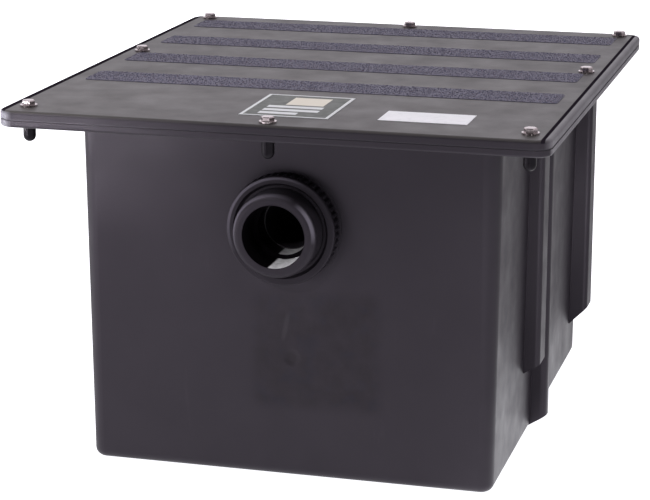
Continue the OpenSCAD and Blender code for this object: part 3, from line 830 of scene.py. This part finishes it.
def bolt_tree(inputs):
    """Puts a head, a shank and a spiral thread at each point."""
    tree, given, result = start_tree("lid_bolt_maker", inputs)
    link = tree.links.new
    joined = tree.nodes.new("GeometryNodeJoinGeometry")
    for part in ("Head", "Shank"):
        info = add_node(tree, "GeometryNodeObjectInfo", {"Object": given[part]})
        link(info.outputs["Geometry"], joined.inputs["Geometry"])
    radius, length = given["Thread Radius"], given["Thread Length"]
    turns = calc(tree, "DIVIDE", length, given["Thread Pitch"])
    spiral = add_node(tree, "GeometryNodeCurveSpiral", {
        "Resolution": THREAD_STEPS, "Rotations": turns,
        "Start Radius": radius, "End Radius": radius, "Height": length})
    ridge = add_node(tree, "GeometryNodeCurvePrimitiveCircle", {
        "Resolution": THREAD_CORNERS, "Radius": given["Thread Depth"]})
    thread = add_node(tree, "GeometryNodeCurveToMesh", {
        "Curve": spiral.outputs["Curve"], "Profile Curve": ridge.outputs["Curve"],
        "Fill Caps": True})
    drop = add_node(tree, "ShaderNodeMath", {0: length, 1: -1.0, 2: -THREAD_START},
                    operation="MULTIPLY_ADD")
    lower = add_node(tree, "ShaderNodeCombineXYZ", {"Z": drop.outputs["Value"]})
    placed = add_node(tree, "GeometryNodeTransform", {
        "Geometry": thread.outputs["Mesh"], "Translation": lower.outputs["Vector"]})
    link(placed.outputs["Geometry"], joined.inputs["Geometry"])
    scatter = add_node(tree, "GeometryNodeInstanceOnPoints", {
        "Points": given["Geometry"], "Instance": joined.outputs["Geometry"]})
    real = add_node(tree, "GeometryNodeRealizeInstances", {
        "Geometry": scatter.outputs["Instances"]})
    finish = add_node(tree, "GeometryNodeSetMaterial", {
        "Geometry": real.outputs["Geometry"], "Material": given["Finish"]})
    link(finish.outputs["Geometry"], result["Geometry"])
    return tree


def lid_bolts(steel):
    """Hexagon bolts with a bevelled head and a threaded shank, one at each place."""
    middles, seat_z, head_r, head_h, shank_r, shank_l = bolt_sizes()
    head = [(0, 0), (head_r, 0), (head_r, head_h - HEAD_BEVEL),
            (head_r * HEAD_TOP_SHARE, head_h), (0, head_h)]
    core_r = shank_r - THREAD_DEPTH
    shank = [(0, -shank_l), (core_r * SHANK_TIP_SHARE, -shank_l),
             (core_r, -shank_l + SHANK_TIP_H), (core_r, 0), (0, 0)]
    head_part = add_object("bolt_head", turned_mesh("bolt_head", head, HEX_SIDES))
    shank_part = add_object("bolt_shank", turned_mesh("bolt_shank", shank, SHANK_SIDES))
    places = bpy.data.meshes.new("lid_bolts_steel")
    places.from_pydata([(spot.x, spot.y, seat_z) for spot in middles], [], [])
    piece = add_object("lid_bolts_steel", places)
    inputs = {"Head": head_part, "Shank": shank_part, "Thread Radius": core_r,
              "Thread Depth": THREAD_DEPTH, "Thread Pitch": THREAD_PITCH,
              "Thread Length": shank_l - THREAD_SHORTER, "Finish": steel}
    grow(piece, bolt_tree(inputs), inputs)
    for part in (head_part, shank_part):
        bpy.data.objects.remove(part)
    return piece


# Grip strips

STRIP_COUNT = 4
STRIP_CORNER_R = 5 * MM
STRIP_CORNER_STEPS = 5
STRIP_TAPE_SHARE = 0.4
GRAIN_SIZE = 0.68 * MM
GRAIN_SCALES = (0.5, 1.1)
GRAINS_PER_M2 = 320000.0
UPWARD = 0.5


def tape_mesh(name, low, high):
    """A thin strip with round corners between two corners of a box."""
    shape = bmesh.new()
    outline = []
    corners = ((high.x, high.y), (low.x, high.y), (low.x, low.y), (high.x, low.y))
    middle = (low + high) / 2
    for quarter, (x, y) in enumerate(corners):
        centre_x = x - math.copysign(STRIP_CORNER_R, x - middle.x)
        centre_y = y - math.copysign(STRIP_CORNER_R, y - middle.y)
        for step in range(STRIP_CORNER_STEPS + 1):
            turn = (quarter + step / STRIP_CORNER_STEPS) * math.pi / 2
            outline.append((centre_x + STRIP_CORNER_R * math.cos(turn),
                            centre_y + STRIP_CORNER_R * math.sin(turn)))
    top_z = low.z + (high.z - low.z) * STRIP_TAPE_SHARE
    under = [shape.verts.new((x, y, low.z)) for x, y in outline]
    over = [shape.verts.new((x, y, top_z)) for x, y in outline]
    shape.faces.new(over)
    shape.faces.new(list(reversed(under)))
    for i in range(len(outline)):
        j = (i + 1) % len(outline)
        shape.faces.new((under[i], under[j], over[j], over[i]))
    return finished_mesh(name, shape)


def grit_tree(inputs):
    """Covers the upward faces of a strip with small tumbled grains."""
    tree, given, result = start_tree("grip_strip_maker", inputs)
    link = tree.links.new
    facing_z = split(tree, tree.nodes.new("GeometryNodeInputNormal").outputs["Normal"])[2]
    upward = add_node(tree, "FunctionNodeCompare", {"A": facing_z, "B": UPWARD},
                      operation="GREATER_THAN")
    sown = add_node(tree, "GeometryNodeDistributePointsOnFaces", {
        "Mesh": given["Geometry"], "Selection": upward.outputs["Result"],
        "Density": given["Grains per Area"], "Seed": given["Seed"]})
    tumble = add_node(tree, "FunctionNodeRandomValue", {
        "Max": (math.tau, math.tau, math.tau), "Seed": given["Seed"]}, data_type="FLOAT_VECTOR")
    sizes = add_node(tree, "FunctionNodeRandomValue", {"Seed": given["Seed"]}, data_type="FLOAT")
    limits = [socket for socket in sizes.inputs if socket.type == "VALUE"]
    for limit, scale in zip(limits, GRAIN_SCALES):
        limit.default_value = scale
    sides = add_node(tree, "ShaderNodeCombineXYZ", {axis: given["Grain Size"] for axis in "XYZ"})
    grain = add_node(tree, "GeometryNodeMeshCube", {"Size": sides.outputs["Vector"]})
    scatter = add_node(tree, "GeometryNodeInstanceOnPoints", {
        "Points": sown.outputs["Points"], "Instance": grain.outputs["Mesh"],
        "Rotation": tumble.outputs["Value"],
        "Scale": next(socket for socket in sizes.outputs if socket.type == "VALUE")})
    real = add_node(tree, "GeometryNodeRealizeInstances", {
        "Geometry": scatter.outputs["Instances"]})
    grains = add_node(tree, "GeometryNodeSetMaterial", {
        "Geometry": real.outputs["Geometry"], "Material": given["Grain Finish"]})
    backing = add_node(tree, "GeometryNodeSetMaterial", {
        "Geometry": given["Geometry"], "Material": given["Tape Finish"]})
    joined = tree.nodes.new("GeometryNodeJoinGeometry")
    for part in (backing, grains):
        link(part.outputs["Geometry"], joined.inputs["Geometry"])
    link(joined.outputs["Geometry"], result["Geometry"])
    return tree


def grip_strips(tape, grit):
    """The four gritty strips, each in the place of its solid."""
    strips = []
    tree = None
    for count in range(1, STRIP_COUNT + 1):
        name = f"gritty_strip_{count}"
        piece = add_object(name, tape_mesh(name, *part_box(f"grip_strip_{count}")))
        inputs = {"Grain Size": GRAIN_SIZE, "Grains per Area": GRAINS_PER_M2, "Seed": count,
                  "Tape Finish": tape, "Grain Finish": grit}
        tree = tree or grit_tree(inputs)
        strips.append(grow(piece, tree, inputs))
    return strips


# Stage

CAMERA_PLACE = (0.5877, -2.2306, 0.7805)
CAMERA_TILT = 75.1
CAMERA_TURN = 15.44
CAMERA_LENS = 124.8
CAMERA_SENSOR = 36.0
CAMERA_REACH = 60


def add_camera():
    """A long lens at the height and angle of a catalogue picture."""
    lens = bpy.data.cameras.new("camera")
    lens.lens = CAMERA_LENS
    lens.sensor_width = CAMERA_SENSOR
    lens.clip_end = CAMERA_REACH
    camera = add_object("camera", lens)
    camera.location = CAMERA_PLACE
    camera.rotation_euler = (math.radians(CAMERA_TILT), 0, math.radians(CAMERA_TURN))
    bpy.context.scene.camera = camera


FLOOR_HALF = 14.0
FLOOR_GAP = 0.4 * MM
FLOOR_WHITE = (0.82, 0.82, 0.82, 1)
FLOOR_ROUGH = 0.9
FLOOR_GLOSS = 0.1

# The floor's glow: strengths, and where one strength passes into the next
GLOW_TINT = (0.96, 0.965, 1.0, 1)
GLOW_SEEN = 1.1
GLOW_FRONT_LEFT = 0.4
GLOW_FRONT_MIDDLE = 0.0
GLOW_FRONT_X = (-0.35, 0.0)
GLOW_FOOT = 1.15
GLOW_FOOT_Y = (-1.2, -0.3)
GLOW_BEHIND = 0.35
GLOW_BEHIND_Y = (-0.25, 0.0)
GLOW_RIGHT_NEAR = 0.85
GLOW_RIGHT_FAR = 0.06
GLOW_RIGHT_X = (0.26, 0.46)
GLOW_RIGHT_Y = (-0.3, 0.2)
GLOW_SIDE = 1.62
GLOW_SIDE_BAND = (0.26, 0.06, 0.08)
GLOW_SIDE_Y = (0.06, 0.36)
GLOW_SIDE_LEAST = 0.12


def seen_or(tree, seen, otherwise):
    """One value for what the camera sees, another for what the light meets."""
    path = tree.nodes.new("ShaderNodeLightPath")
    return spread(tree, path.outputs["Is Camera Ray"], 0, 1, otherwise, seen)


def add_floor():
    """A wide white floor that glows unevenly, as a lit sweep does, and is seen evenly white."""
    mesh = bpy.data.meshes.new("floor")
    corners = ((-1, -1), (1, -1), (1, 1), (-1, 1))
    mesh.from_pydata([(x * FLOOR_HALF, y * FLOOR_HALF, -FLOOR_GAP) for x, y in corners],
                     [], [(0, 1, 2, 3)])
    floor = add_object("floor", mesh)
    material, tree, shader = new_material("floor_white")
    shader.inputs["Base Color"].default_value = FLOOR_WHITE
    shader.inputs["Roughness"].default_value = FLOOR_ROUGH
    shader.inputs["Specular IOR Level"].default_value = FLOOR_GLOSS
    shader.inputs["Emission Color"].default_value = GLOW_TINT
    x, y, _ = split(tree, object_place(tree))
    front = spread(tree, x, *GLOW_FRONT_X, GLOW_FRONT_LEFT, GLOW_FRONT_MIDDLE)
    left = spread(tree, y, *GLOW_FOOT_Y, front, GLOW_FOOT)
    left = spread(tree, y, *GLOW_BEHIND_Y, left, GLOW_BEHIND)
    right = spread(tree, y, *GLOW_RIGHT_Y, GLOW_RIGHT_NEAR, GLOW_RIGHT_FAR)
    around = spread(tree, x, *GLOW_RIGHT_X, left, right)
    beside = both(tree, band(tree, x, *GLOW_SIDE_BAND),
                  spread(tree, y, *GLOW_SIDE_Y, 1.0, GLOW_SIDE_LEAST))
    glow = spread(tree, beside, 0, 1, around, GLOW_SIDE)
    feed(tree, shader.inputs["Emission Strength"], seen_or(tree, GLOW_SEEN, glow))
    mesh.materials.append(material)


STUDIO_TINT = (1.0, 0.965, 1.02, 1.0)
STUDIO_FRONT = 0.12
STUDIO_BACK = 1.25
STUDIO_DEPTH = (-0.7, 0.7)
STUDIO_RIGHT_LOW = 0.2
STUDIO_RIGHT_HIGH = 0.85
STUDIO_RISE = (0.05, 0.25)
STUDIO_TURN = (-0.05, 0.15)
STUDIO_WHITE = 1.0


def add_studio():
    """Light from all round: dim in front, bright behind, and dim low down on the right."""
    world = bpy.data.worlds.new("studio")
    bpy.context.scene.world = world
    world.use_nodes = True
    tree = world.node_tree
    tree.nodes.clear()
    x, y, z = split(tree, tree.nodes.new("ShaderNodeTexCoord").outputs["Generated"])
    depth = spread(tree, y, *STUDIO_DEPTH, STUDIO_FRONT, STUDIO_BACK, "SMOOTHSTEP")
    raised = spread(tree, z, *STUDIO_RISE, STUDIO_RIGHT_LOW, STUDIO_RIGHT_HIGH)
    lit = both(tree, depth, spread(tree, x, *STUDIO_TURN, 1.0, raised))
    background = add_node(tree, "ShaderNodeBackground", {
        "Color": STUDIO_TINT, "Strength": seen_or(tree, STUDIO_WHITE, lit)})
    add_node(tree, "ShaderNodeOutputWorld", {"Surface": background.outputs["Background"]})


def add_lamp(name, lamp, place, aim, power):
    """A lamp that shines from a place at a point."""
    lamp.energy = power
    thing = add_object(name, lamp)
    thing.location = place
    toward = Vector(aim) - Vector(place)
    thing.rotation_euler = toward.to_track_quat("-Z", "Y").to_euler()
    return thing


def add_panel(name, place, aim, power, size, tint=(1, 1, 1)):
    """A soft panel that is not seen itself."""
    lamp = bpy.data.lights.new(name, "AREA")
    lamp.shape = "RECTANGLE"
    lamp.size, lamp.size_y = size
    lamp.color = tint
    add_lamp(name, lamp, place, aim, power).visible_camera = False


SPOT_BLEND = 0.8


def add_spot(name, place, aim, power, cone, radius):
    """A narrow beam with soft edges from a round lamp."""
    lamp = bpy.data.lights.new(name, "SPOT")
    lamp.spot_size = math.radians(cone)
    lamp.spot_blend = SPOT_BLEND
    lamp.shadow_soft_size = radius
    add_lamp(name, lamp, place, aim, power)


PANEL_TINT = (0.97, 0.93, 1.0)

# Kind, name, place, aim, power and shape of each
LIGHTS = (
    (add_panel, "key", (-1.7, -2.0, 2.0), (0, 0, 0.25), 22, {"size": (0.9, 0.9)}),
    (add_panel, "left_panel", (-1.8, -0.9, 0.15), (-0.25, -0.3, 0.35), 5,
     {"size": (0.5, 0.3), "tint": PANEL_TINT}),
    (add_spot, "rim_spot", (-0.9, -1.6, 0.12), (-0.23, -0.31, 0.395), 120,
     {"cone": 7.0, "radius": 0.12}),
    (add_spot, "edge_spot", (-1.06, -1.77, 1.48), (-0.22, -0.31, 0.36), 150,
     {"cone": 5.0, "radius": 0.1}),
    (add_spot, "corner_spot", (-1.8, -0.9, 0.05), (-0.265, -0.305, 0.356), 300,
     {"cone": 2.4, "radius": 0.08}),
    (add_spot, "mouth_spot", (1.45, -0.8, 1.1), (0.045, -0.29, 0.265), 80,
     {"cone": 3.2, "radius": 0.06}),
    (add_spot, "column_spot", (0.75, -1.9, 0.45), (0.218, 0.195, 0.19), 165,
     {"cone": 6.0, "radius": 0.1}),
    (add_spot, "port_spot", (-0.35, -1.6, 1.05), (0.0, -0.27, 0.235), 46,
     {"cone": 3.4, "radius": 0.02}),
    (add_panel, "low_panel", (-1.0, -1.5, 0.22), (-0.2, -0.3, 0.34), 4,
     {"size": (0.7, 0.4), "tint": PANEL_TINT}),
)


def add_lights():
    """A key and two low panels from the left, and spots on the rim, corner, columns and port."""
    for add_light, name, place, aim, power, shape in LIGHTS:
        add_light(name, place, aim, power, **shape)


def paint(material, *names):
    """Gives carried-over solids their finish."""
    for name in names:
        mesh = nodes[name].data
        mesh.materials.clear()
        mesh.materials.append(material)


def dress(piece, body, node):
    """Puts a piece on its body, in the place of a node."""
    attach(piece, body)
    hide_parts(node)


add_camera()
add_floor()
add_studio()
add_lights()
bpy.context.scene.view_settings.view_transform = "Standard"

paint(tank_plastic(), "tank")
paint(lid_plastic(), "lid")
paint(baffle_plastic(), "baffle", "weir_plate")
paint(soft_rubber("gasket_rubber", GASKET_DARK, GASKET_PALE), "lid_gasket")
paint(soft_rubber("seal_rubber", RUBBER_DARK, RUBBER_PALE),
      "well_nuts", "inlet_ring_seal", "outlet_ring_seal")
paint(inlet_fitting_plastic(), "inlet_fitting")
paint(fitting_plastic("fitting_plastic")[0],
      "outlet_fitting", "inlet_ring_nut", "outlet_ring_nut")
pipe = pipe_plastic()
for end in ENDS:
    paint(pipe, f"{end}_elbow", f"{end}_drop_pipe")
steel = bright_steel()
paint(steel, "lid_washers")
paint(label_print(), "square_label")
paint(sticker_film(), "blank_sticker")

dress(lid_bolts(steel), LID_BODY, "lid_bolts")
for count, strip in enumerate(grip_strips(tape_film(), grit_mineral()), 1):
    dress(strip, LID_BODY, f"grip_strip_{count}")
